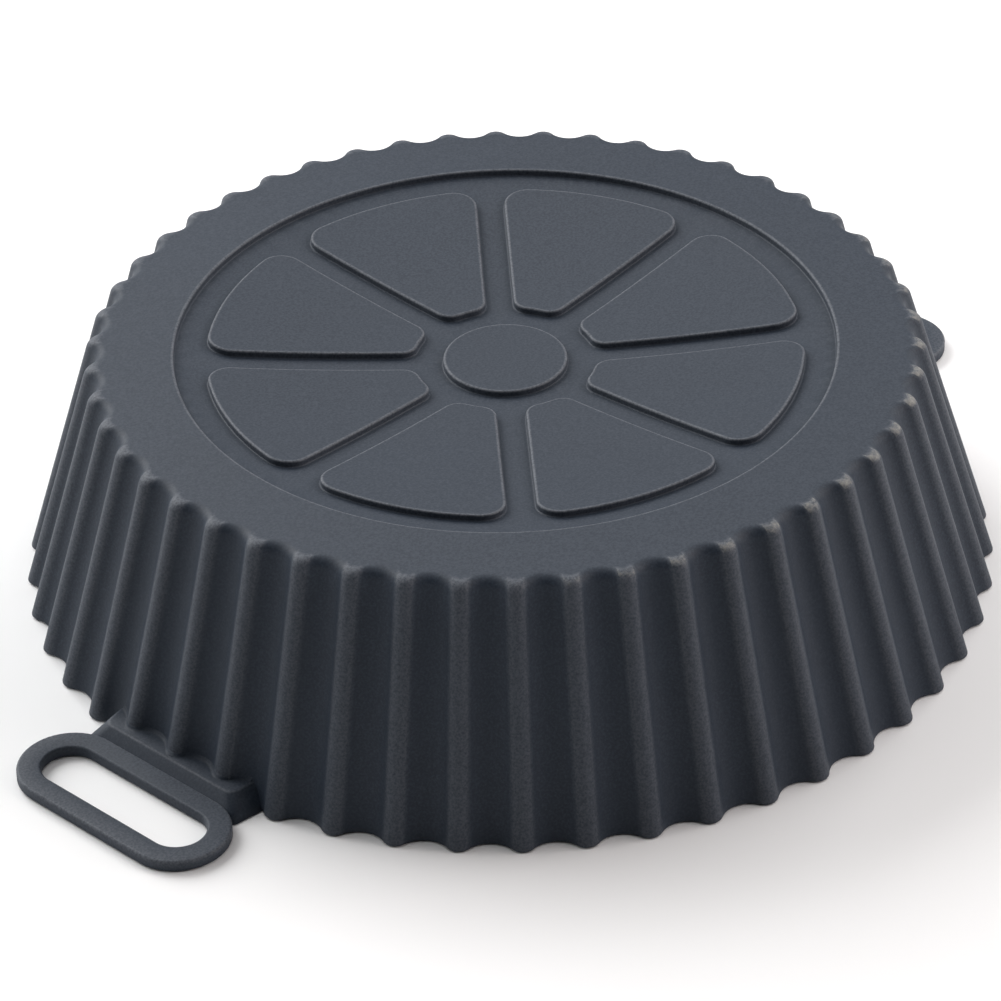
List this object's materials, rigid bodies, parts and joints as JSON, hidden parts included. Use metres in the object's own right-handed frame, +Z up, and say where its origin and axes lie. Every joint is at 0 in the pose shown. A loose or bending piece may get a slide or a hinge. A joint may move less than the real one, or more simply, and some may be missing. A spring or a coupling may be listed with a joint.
{
  "type": "air fryer liner",
  "caption": "Round moulded basket liner with a fluted flaring wall, a recessed wheel pattern in the base and a loop handle on each side, standing upside down on its rim.",
  "frame": {"origin": "centre of the rim plane: the liner stands upside down on its open rim, as in the picture", "axes": "+Z up through the closed end, +X along the line through both handles"},
  "size_m": [0.2444, 0.1996, 0.0513],
  "materials": {
    "silicone": "matt slate-grey moulded silicone"
  },
  "bodies": {
    "root": {"liner": "silicone"}
  },
  "joints": []
}
